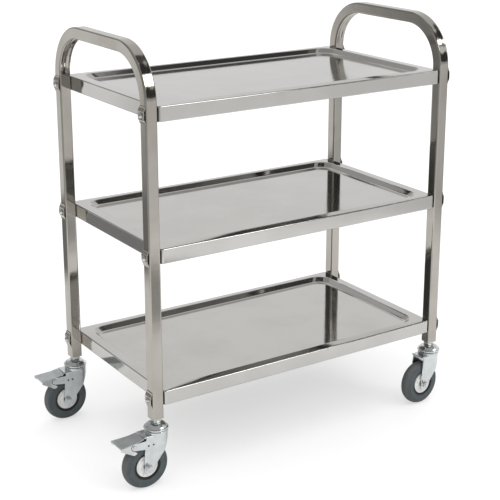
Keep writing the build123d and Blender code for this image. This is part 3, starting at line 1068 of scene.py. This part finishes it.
@dataclass
class SwivelHead(CastorPart):
    """Upper part of a castor: square neck on a domed cap, and the pressed fork under it."""

    neck: float = 16.5 * MM
    neck_corner: float = 1.5 * MM
    neck_facets: int = 3
    cap_height: float = 13 * MM
    cap_skirt: float = 5 * MM
    cap_crown: float = 12.5 * MM
    cap_steps: int = 64
    bead: float = 2.2 * MM
    bead_under: float = 0.4 * MM
    bead_low: float = 1.5 * MM
    bead_top: float = 2 * MM
    bead_root: float = 0.5 * MM
    dome_ease: float = 3.5 * MM
    crown_ease: float = 2 * MM

    def build(self) -> None:
        """Make the cap and the fork, and dress what they hold."""
        self._cap()
        fork = self.piece("yoke", "castor", Slot.ZINC, "fork")
        ease_pressing(fork.make(merged_copy(fork.node), self.finishes[Look.ZINC]))
        self.dress(self.node("king_pin"), Look.ZINC)
        self.dress(self.node("bearing_balls"), Look.BOLT)

    def _cap(self) -> None:
        """Square neck on a domed cap."""
        stem = self.node("stem")
        low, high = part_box(stem)
        radius = (high.x - low.x) / 2
        skirt_top, cap_top = low.z + self.cap_skirt, low.z + self.cap_height
        stand = self.stand()
        bm = bmesh.new()
        knots = (
            Knot(low.z, 0.0),
            Knot(low.z, radius - self.bead, self.bead_under),
            Knot(low.z + self.bead / 3, radius, self.bead_low),
            Knot(skirt_top, radius, self.bead_top),
            Knot(skirt_top, radius - self.bead, self.bead_root),
            Knot(cap_top - self.bead, self.cap_crown + 3 * self.bead, self.dome_ease),
            Knot(cap_top, self.cap_crown, self.crown_ease),
            Knot(cap_top, 0.0),
        )
        turned(bm, knots, stand, self.cap_steps)
        size = (self.neck, self.neck, high.z - cap_top)
        lift = Matrix.Translation((0.0, 0.0, (cap_top + high.z) / 2))
        block(bm, size, stand @ lift, self.neck_corner, self.neck_facets)
        Piece(self.node("cap"), FRAME_BODY, Slot.ZINC, stem).make(bm, self.finishes[Look.CAP])


@dataclass
class Wheel(CastorPart):
    """Castor wheel: rubber tyre, dark core and two pale covers. Sizes across the axle are radii."""

    half: float = 13 * MM
    bead: float = 28 * MM
    bead_bevel: float = 2 * MM
    bead_ease: float = 0.8 * MM
    black_bead: float = 1.7 * MM
    tread_half: float = 10.5 * MM
    tread_ease: float = 1.6 * MM
    tread_crown: float = 3.2 * MM
    crown_half: float = 4.2 * MM
    crown_ease: float = 3.5 * MM
    shoulder: float = 5.5 * MM
    shoulder_ease: float = 0.5 * MM
    groove: float = 0.9 * MM
    groove_lip: float = 0.3 * MM
    groove_ease: float = 0.2 * MM
    tyre_steps: int = 96
    rim_half: float = 10.5 * MM
    rim_land: float = 1.7 * MM
    rim_recess: float = 1.5 * MM
    rim_ease: float = 0.4 * MM
    boss: float = 8.5 * MM
    boss_half: float = 14.5 * MM
    boss_ease: float = 0.5 * MM
    sleeve: float = 6.08 * MM
    play: float = 0.05 * MM
    hub_steps: int = 72
    cover: float = 23.75 * MM
    cover_thick: float = 2.8 * MM
    cover_rim: float = 3 * MM
    cover_boss: float = 14 * MM
    cover_ease: float = 0.4 * MM
    cover_edge: float = 0.6 * MM
    dish: float = 1.2 * MM
    dish_slope: float = 0.4 * MM
    dish_ease: float = 0.3 * MM
    ribs: int = 6
    rib_width: float = 1.6 * MM
    rib_lap: float = 1 * MM
    rib_sunk: float = 0.1 * MM

    def __post_init__(self) -> None:
        """Take the wheel's place from the record's joints."""
        self.middle = self.hub()
        self.face = self.rim_half - self.rim_recess

    def build(self) -> None:
        """Make the wheel's three pieces."""
        self._tyre()
        self._core()
        self._covers()

    def _tyre(self) -> None:
        """Tyre with a crowned tread, a groove below each shoulder and black beads."""
        low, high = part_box(self.node("tyre"))
        crown = (high.z - low.z) / 2
        tread = crown - self.tread_crown
        seam, deep = tread - self.shoulder, self.half - self.groove
        side = (
            Knot(self.half - self.bead_bevel, self.bead),
            Knot(self.half, self.bead + self.bead_bevel, self.bead_ease),
            Knot(self.half, seam - self.groove, self.groove_lip),
            Knot(deep, seam - self.groove / 2, self.groove_ease),
            Knot(deep, seam + self.groove / 2, self.groove_ease),
            Knot(self.half - self.groove / 3, seam + self.groove, self.shoulder_ease),
            Knot(self.tread_half, tread, self.tread_ease),
            Knot(self.crown_half, crown, self.crown_ease),
        )
        bm = bmesh.new()
        turned(bm, both_sides(side), self.middle, self.tyre_steps, closed=True)
        to_hub = self.middle.inverted()
        # The tread shows the tyre's lighter marked tone.
        paint_shade_and_tone(bm, lambda spot: (to_hub @ spot).xy.length > tread)
        for face in bm.faces:
            reach = (to_hub @ face.calc_center_median()).xy.length
            face.material_index = int(reach < self.bead + self.black_bead)
        tyre = self.piece("rubber_tyre", "wheel", Slot.TYRE, "tyre").make(bm, self.finishes[Look.TYRE])
        tyre.data.materials.append(self.finishes[Look.CORE])

    def _core(self) -> None:
        """Core of the wheel: boss, web and rim."""
        land = self.bead - self.rim_land
        side = (
            Knot(self.boss_half, self.sleeve),
            Knot(self.boss_half, self.boss, self.boss_ease),
            Knot(self.face, self.boss),
            Knot(self.face, land),
            Knot(self.rim_half, land, self.rim_ease),
            Knot(self.rim_half, self.bead - self.play),
        )
        bm = bmesh.new()
        turned(bm, both_sides(side), self.middle, self.hub_steps, closed=True)
        self.piece("wheel_core", "wheel", Slot.CORE, "hub").make(bm, self.finishes[Look.CORE])

    def _covers(self) -> None:
        """Pale dished covers with ribs, one on each face."""
        top = self.face + self.cover_thick
        inner, rim = self.boss + self.play, self.cover - self.cover_rim
        knots = (
            Knot(self.face, inner),
            Knot(top, inner, self.cover_ease),
            Knot(top, self.cover_boss, self.cover_ease),
            Knot(top - self.dish, self.cover_boss + self.dish_slope, self.dish_ease),
            Knot(top - self.dish, rim - self.dish_slope, self.dish_ease),
            Knot(top, rim, self.cover_ease),
            Knot(top, self.cover, self.cover_edge),
            Knot(self.face, self.cover),
        )
        rib = (rim - self.cover_boss + 2 * self.rib_lap, self.rib_width, self.dish)
        out = Matrix.Translation(((self.cover_boss + rim) / 2, 0.0, top - self.dish / 2 - self.rib_sunk))
        bm = bmesh.new()
        for turn in (0.0, math.pi):
            at = self.middle @ Matrix.Rotation(turn, 4, "X")
            turned(bm, knots, at, self.hub_steps, closed=True)
            for index in range(self.ribs):
                spoke = Matrix.Rotation(index * math.tau / self.ribs, 4, "Z")
                block(bm, rib, at @ spoke @ out, self.dish_ease)
        covers = self.piece("wheel_covers", "wheel", Slot.COVER, "hub_covers")
        covers.make(bm, self.finishes[Look.COVER])


@dataclass
class Axle(CastorPart):
    """Axle of a castor: bolt with its head at the rear, flanged nut at the front."""

    fork_half: float = 17.3 * MM
    radius: float = 4 * MM
    flats: float = 13 * MM
    edge_ease: float = 0.5 * MM
    head_height: float = 5.3 * MM
    flange_radius: float = 8 * MM
    flange_height: float = 1.5 * MM
    flange_rise: float = 0.4 * MM
    flange_in: float = 0.5 * MM
    nut_height: float = 6 * MM
    collar: float = 1.2 * MM
    collar_in: float = 0.6 * MM
    collar_taper: float = 1 * MM
    end: float = 1 * MM
    end_ease: float = 0.8 * MM
    nut_steps: int = 48
    shank_steps: int = 40

    def build(self) -> None:
        """Make the bolt and the nut, and dress the sleeve between the fork's cheeks."""
        hub, out = self.hub(), Matrix.Translation((0.0, 0.0, self.fork_half))
        self._nut(hub @ Matrix.Rotation(math.pi, 4, "X") @ out)
        self._bolt(hub @ out)
        self.dress(self.node("axle_sleeve"), Look.ZINC)

    def _nut(self, at: Matrix) -> None:
        """Hexagon nut on a flange, with a collar on top.

        Args:
            at: Place of its foot, Z outwards.
        """
        slope, collar = self.flange_height + self.flange_rise, self.nut_height - self.collar
        flange = (
            Knot(0.0, self.radius),
            Knot(0.0, self.flange_radius),
            Knot(self.flange_height, self.flange_radius, self.edge_ease),
            Knot(slope, self.flats / 2 - self.flange_in),
            Knot(slope, self.radius),
        )
        top = (
            Knot(collar, 0.0),
            Knot(collar, self.flats / 2 - self.collar_in),
            Knot(self.nut_height, self.flats / 2 - self.collar_taper, self.edge_ease),
            Knot(self.nut_height, 0.0),
        )
        seat = at @ Matrix.Translation((0.0, 0.0, self.flange_height))
        bm = bmesh.new()
        turned(bm, flange, at, self.nut_steps, closed=True)
        hexagon(bm, self.flats, collar, seat, self.edge_ease)
        turned(bm, top, seat, self.nut_steps)
        self.piece("flange_nut", "castor", Slot.BOLT, "axle_nut").make(bm, self.finishes[Look.ZINC])

    def _bolt(self, at: Matrix) -> None:
        """Hexagon head with its shank through the fork.

        Args:
            at: Place of the head's underside, Z outwards.
        """
        reach = 2 * self.fork_half + self.flange_height + self.nut_height + self.end
        shank = (
            Knot(0.0, 0.0),
            Knot(0.0, self.radius),
            Knot(-reach, self.radius, self.end_ease),
            Knot(-reach, 0.0),
        )
        bm = bmesh.new()
        hexagon(bm, self.flats, self.head_height, at, self.edge_ease)
        turned(bm, shank, at, self.shank_steps)
        self.piece("axle", "castor", Slot.BOLT, "axle_bolt").make(bm, self.finishes[Look.ZINC])


@dataclass
class BrakePedal(CastorPart):
    """Foot pedal of a braked castor: its plate curled up at the fork, a wall on each side."""

    tilt: float = 4.4
    lift: float = 8.3 * MM
    tip: float = 33.5 * MM
    plate_root: float = 1 * MM
    root_cuts: int = 8
    root_rise: float = 2 * MM
    plate_darkening: float = 0.25
    cheek_half: float = 14.5 * MM
    cheek_depth: float = 0.45 * MM
    skirt_inner: float = 15.2 * MM
    skirt_sheet: float = 1.8 * MM
    skirt_flare: float = 5.3 * MM
    skirt_tip: float = 4 * MM
    flare_from: float = 9.5 * MM
    notch: float = 8.8 * MM
    notch_end: float = 80.0
    belly: Vector = Vector((2.5 * MM, -10 * MM, 0.0))
    belly_radius: float = 7 * MM
    belly_from: float = -150.0
    belly_sweep: float = 98.0
    arc_steps: int = 14

    def build(self) -> None:
        """Make the pedal from its construction node, and dress its pin."""
        pedal = self.piece("foot_pedal", "brake", Slot.ZINC, "pedal")
        pin = self.pin()
        to_pin = pin.inverted()
        bm = merged_copy(pedal.node)
        self._curl_root(bm, pin)
        # Painted shade on the inner cheeks, seen through the notches in the walls; the top plate darker.
        paint_shade_and_tone(bm, lambda spot: self._shade_and_tone_share(to_pin @ spot))
        outwards = Matrix.Rotation(-math.radians(self.tilt), 4, "Y") @ Matrix.Rotation(math.pi, 4, "Z")
        upright = Matrix.Rotation(math.pi / 2, 4, "X")
        for side in (-1.0, 1.0):
            graft(bm, self._skirt(side), [pin @ outwards @ upright])
        ease_pressing(pedal.make(bm, self.finishes[Look.ZINC]))
        self.dress(self.node("pedal_pin"), Look.BOLT)

    def _shade_and_tone_share(self, spot: Vector) -> float:
        """How far the pedal shows its finish's darker, duller marked colour: painted shade on the inner
        cheeks between its walls, and a darker top plate.

        Args:
            spot: A spot, from the pin.

        Returns:
            The share of the marked colour, from 0 to 1.
        """
        if abs(abs(spot.y) - self.cheek_half) < self.cheek_depth:
            return 1.0
        return self.plate_darkening if spot.z > self.lift / 2 else 0.0

    def _curl_root(self, bm: Mesh, pin: Matrix) -> None:
        """Curl the plate's inner end up to the fork's platform.

        Args:
            bm: Mesh of the pedal.
            pin: Place of the pin.
        """
        to_pin = pin.inverted()
        run = max((to_pin @ v.co).x for v in bm.verts) - self.plate_root
        for index in range(self.root_cuts):
            inwards = self.plate_root + run * index / self.root_cuts
            cut(bm, pin @ (X_AXIS * inwards), pin.to_3x3() @ X_AXIS)
        for vert in bm.verts:
            spot = to_pin @ vert.co
            share = (spot.x - self.plate_root) / run
            if share > 0.0 and spot.z > 0.0:
                vert.co.z += self.root_rise * smooth(share)

    def _skirt(self, side: float) -> Mesh:
        """One outer wall of the pedal, cut out round the fork's lug.

        Args:
            side: Sign of the side it stands on.

        Returns:
            The wall about the pin: X outwards, Y up, Z aside.
        """
        bm = bmesh.new()
        start = math.asin(self.lift / self.notch)
        top = bm.verts.new((self.notch * math.cos(start), self.lift, 0.0))
        low = self._arc(bm, top, Vector(), -start - math.radians(self.notch_end))
        reach = Matrix.Rotation(math.radians(self.belly_from), 3, "Z") @ X_AXIS * self.belly_radius
        bulge = bm.verts.new(self.belly + reach)
        rise = self._arc(bm, bulge, self.belly, math.radians(self.belly_sweep))
        tip = bm.verts.new((self.tip, self.lift, 0.0))
        lip = bm.verts.new((self.tip, self.lift - self.skirt_tip, 0.0))
        for pair in ((low, bulge), (rise, lip), (lip, tip), (tip, top)):
            bm.edges.new(pair)
        bmesh.ops.contextual_create(bm, geom=bm.edges[:])
        cut(bm, X_AXIS * self.flare_from, X_AXIS)
        outer = pick(bmesh.ops.extrude_face_region(bm, geom=bm.faces[:])["geom"], Vert)
        bmesh.ops.translate(bm, verts=outer, vec=Z_AXIS * self.skirt_sheet)
        for vert in bm.verts:
            flare = max(0.0, vert.co.x - self.flare_from) / (self.tip - self.flare_from)
            vert.co.z = side * (self.skirt_inner + vert.co.z + flare * self.skirt_flare)
        face_out(bm)
        return bm

    def _arc(self, bm: Mesh, start: Vert, middle: Vector, angle: float) -> Vert:
        """Draw an arc of edges about a middle, from one corner to another."""
        return pick(spin(bm, [start], middle, Z_AXIS, angle, self.arc_steps), Vert)[0]


# Studio


def towards(azimuth: float, elevation: float) -> Vector:
    """Unit vector at an azimuth, in degrees from +Y to +X, and an elevation."""
    turn, rise = math.radians(azimuth), math.radians(elevation)
    return Vector((math.sin(turn) * math.cos(rise), math.cos(turn) * math.cos(rise), math.sin(rise)))


@dataclass(frozen=True)
class Card:
    """A soft round patch of the surroundings, seen only in reflections: degrees."""

    azimuth: float
    elevation: float
    inner: float
    outer: float
    light: float


CARDS = (
    Card(40.0, 17.0, 26.0, 48.0, 0.82),  # backdrop
    Card(85.0, 40.0, 26.0, 40.0, 0.70),  # pale wall at the right
    Card(-27.0, -3.0, 6.0, 9.0, 0.62),  # lit foot of the wall at the back left
    Card(-29.0, 29.0, 6.0, 9.0, 0.50),  # pale wall at the left
    Card(-39.0, 19.0, 5.0, 8.0, 0.08),  # dark doorway beside it
    Card(160.0, 0.0, 5.0, 40.0, 0.58),  # far floor in front
    Card(-9.0, 35.0, 8.0, 16.0, 0.42),  # grey gap left of the backdrop
    Card(-43.0, -4.0, 4.0, 9.0, 0.20),  # dark corner at the back left
    Card(137.0, 45.0, 9.0, 12.0, 0.05),  # dark beam above the camera, in three parts
    Card(120.0, 48.0, 9.0, 11.5, 0.05),
    Card(98.0, 57.0, 7.0, 12.0, 0.10),
    Card(152.0, 9.5, 7.0, 8.5, 0.05),  # dark stands under the lamps
    Card(138.0, 8.0, 6.0, 7.5, 0.05),
    Card(143.0, 18.5, 6.5, 8.0, 0.05),
    Card(148.0, 28.5, 6.0, 7.0, 6.0),  # tall soft lamp, in two parts
    Card(144.0, 36.0, 6.0, 7.0, 6.0),
    Card(133.0, 21.0, 5.0, 6.5, 0.90),  # two smaller lamps beside it
    Card(126.0, 33.0, 4.0, 5.0, 4.0),
)


@dataclass(frozen=True)
class Spot:
    """A soft round patch of the floor, seen only in reflections: metres."""

    x: float
    y: float
    inner: float
    outer: float
    light: float


SPOTS = (
    Spot(0.0, -0.3, 1.3, 1.9, 0.73),  # lit pool about the cart
    Spot(-1.03, 1.40, 0.36, 0.55, 0.175),  # shade at the back left, mirrored in the middle tray's left end
    Spot(0.15, -1.20, 0.14, 0.38, 0.33),  # shade in front, mirrored in the front left leg
)


def patched(
    tree: Tree, light: Socket | float, measure: Socket, outer: float, inner: float, patch: float
) -> Socket:
    """Lay a soft patch over a lightness.

    Args:
        tree: Tree to add to.
        light: The lightness.
        measure: What says how far a point is from the patch.
        outer: The measure where the patch ends.
        inner: The measure where it is full.
        patch: The patch's own lightness.

    Returns:
        The lightness with the patch on it.
    """
    share = add_node(
        tree, "ShaderNodeMapRange", {"Value": measure, "From Min": outer, "From Max": inner},
        interpolation_type=Rise.SOFT.value,
    )
    return add_node(tree, "ShaderNodeMix", {"Factor": share["Result"], "A": light, "B": patch})["Result"]


@dataclass
class Studio:
    """Plain pale floor, soft light and the camera."""

    target: Vector = Vector((0.02107, 0.0, 0.50039))
    azimuth: float = 213.32
    elevation: float = 16.23
    distance: float = 2.7132
    focal_pixels: float = 1228.6
    centre_row: float = 200.0
    image_pixels: float = 500.0
    sensor: float = 36.0
    floor_size: float = 30.0
    floor_roughness: float = 0.9
    floor_seen: float = 0.42
    floor_glow: float = 0.56
    plain_wall: float = 0.35
    backdrop: float = 0.95
    sun_strength: float = 3.0
    sun_width: float = 100.0
    sun_tilt: tuple[float, float] = (12.0, -10.0)

    def build(self) -> None:
        """Set up floor, lights, surroundings and camera."""
        self.walls = self._walls()
        self._floor()
        self._lights()
        self._surroundings()
        self._camera()
        bpy.context.scene.view_settings.view_transform = "Standard"

    def _walls(self) -> Tree:
        """Shared group: how light the studio is in a direction, patched with the cards.

        Returns:
            The group.
        """
        tree, given = new_group("studio_walls", (), ("Light",))
        unit = add_node(tree, "ShaderNodeVectorMath", {0: given["Vector"]}, operation="NORMALIZE")["Vector"]
        light = self.plain_wall
        for card in CARDS:
            way = towards(card.azimuth, card.elevation)
            facing = add_node(tree, "ShaderNodeVectorMath", {0: unit, 1: way}, operation="DOT_PRODUCT")
            outer, inner = (math.cos(math.radians(edge)) for edge in (card.outer, card.inner))
            light = patched(tree, light, facing["Value"], outer, inner, card.light)
        add_node(tree, "NodeGroupOutput", {"Light": light})
        return tree

    def _floor(self) -> None:
        """Wide pale floor, lit about the cart and fading into the walls where the steel mirrors it."""
        bm = bmesh.new()
        bmesh.ops.create_grid(bm, x_segments=1, y_segments=1, size=self.floor_size / 2)
        mesh = bpy.data.meshes.new("studio_floor")
        bm.to_mesh(mesh)
        bm.free()
        material = bpy.data.materials.new("pale_floor")
        material.use_nodes = True
        tree = material.node_tree
        coords = tree.nodes.new("ShaderNodeTexCoord").outputs["Object"]
        light = add_node(tree, "ShaderNodeGroup", {"Vector": coords}, node_tree=self.walls)["Light"]
        for spot in SPOTS:
            away = add_node(
                tree, "ShaderNodeVectorMath", {0: coords, 1: (spot.x, spot.y, 0.0)}, operation="DISTANCE"
            )
            light = patched(tree, light, away["Value"], spot.outer, spot.inner, spot.light)
        ray = tree.nodes.new("ShaderNodeLightPath").outputs["Is Camera Ray"]
        seen = add_node(tree, "ShaderNodeMix", {"Factor": ray, "A": light, "B": self.floor_seen})
        glow = add_node(tree, "ShaderNodeMath", {0: ray, 1: self.floor_glow}, operation="MULTIPLY")
        shader = tree.nodes["Principled BSDF"].inputs
        shader["Roughness"].default_value = self.floor_roughness
        shader["Specular IOR Level"].default_value = 0.0
        tree.links.new(seen["Result"], shader["Base Color"])
        tree.links.new(glow["Value"], shader["Emission Strength"])
        mesh.materials.append(material)
        floor = bpy.data.objects.new("studio_floor", mesh)
        bpy.context.scene.collection.objects.link(floor)

    def _lights(self) -> None:
        """Even overhead light, kept out of reflections."""
        sun = bpy.data.lights.new("overhead", "SUN")
        sun.energy = self.sun_strength
        sun.angle = math.radians(self.sun_width)
        overhead = bpy.data.objects.new("overhead", sun)
        overhead.rotation_euler = (*map(math.radians, self.sun_tilt), 0.0)
        overhead.visible_glossy = False
        bpy.context.scene.collection.objects.link(overhead)

    def _surroundings(self) -> None:
        """Studio walls for the steel to mirror, and a pale backdrop for the camera."""
        world = bpy.data.worlds.new("studio")
        bpy.context.scene.world = world
        world.use_nodes = True
        tree = world.node_tree
        coords = tree.nodes.new("ShaderNodeTexCoord").outputs["Generated"]
        walls = add_node(tree, "ShaderNodeGroup", {"Vector": coords}, node_tree=self.walls)
        ray = tree.nodes.new("ShaderNodeLightPath").outputs["Is Camera Ray"]
        seen = add_node(tree, "ShaderNodeMix", {"Factor": ray, "A": walls["Light"], "B": self.backdrop})
        tree.links.new(seen["Result"], tree.nodes["Background"].inputs["Color"])

    def _camera(self) -> None:
        """Camera at the photograph's viewing angle."""
        back = towards(self.azimuth, self.elevation)
        data = bpy.data.cameras.new("camera")
        data.sensor_width = self.sensor
        data.lens = self.focal_pixels * self.sensor / self.image_pixels
        data.shift_y = (self.centre_row - self.image_pixels / 2) / self.image_pixels
        camera = bpy.data.objects.new("camera", data)
        camera.location = self.target + back * self.distance
        camera.rotation_euler = (-back).to_track_quat("-Z", "Y").to_euler()
        bpy.context.scene.collection.objects.link(camera)
        bpy.context.scene.camera = camera


def main() -> None:
    """Dress the cart and light it."""
    logging.basicConfig(level=logging.INFO, format="%(message)s")
    groups = Groups()
    finishes = {look: finish.material(look.value, groups) for look, finish in FINISHES.items()}
    for node in END_FRAMES:
        EndFrame(finishes, node).build()
    for node in TRAYS:
        Tray(finishes, node).build()
    FrameFasteners(finishes).build()
    for corner, braked in BRAKED.items():
        SwivelHead(finishes, corner).build()
        Wheel(finishes, corner).build()
        Axle(finishes, corner).build()
        if braked:
            BrakePedal(finishes, corner).build()
    Studio().build()


if __name__ == "__main__":
    main()
